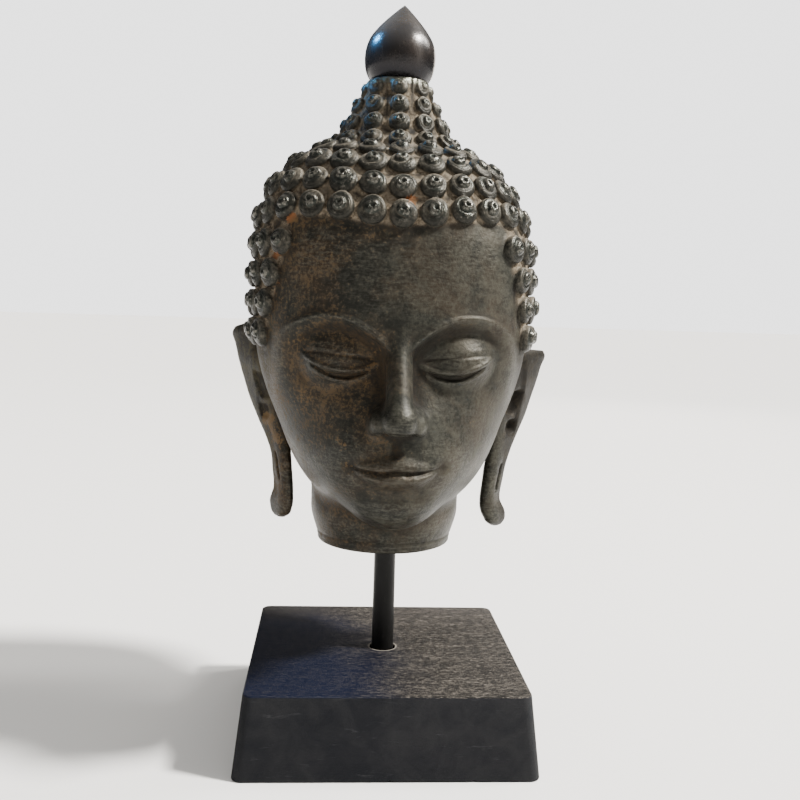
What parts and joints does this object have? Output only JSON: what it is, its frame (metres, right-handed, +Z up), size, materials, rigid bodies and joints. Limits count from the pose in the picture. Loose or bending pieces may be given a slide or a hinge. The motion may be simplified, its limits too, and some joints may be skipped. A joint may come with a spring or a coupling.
{
  "type": "bronze buddha head on a stand",
  "caption": "Patinated bronze buddha head with snail-shell curls, long lobed ears and a lotus-bud finial, held by a black metal rod on a tapered black wooden block.",
  "frame": {"origin": "centre of the wooden block's flat underside", "axes": "+Z up along the rod, -Y the way the face looks, +X towards the statue's left ear"},
  "size_m": [0.1508, 0.159, 0.3321],
  "materials": {
    "bronze": "dark brown patina with ochre dust in the hollows and worn, rubbed high places",
    "dark_bronze": "smooth near-black brown, polished",
    "black_metal": "satin black",
    "black_wood": "black stain over open grain"
  },
  "bodies": {
    "root": {"bronze_head": "bronze", "lotus_bud_finial": "dark_bronze", "support_rod": "black_metal", "wooden_block": "black_wood"}
  },
  "joints": []
}
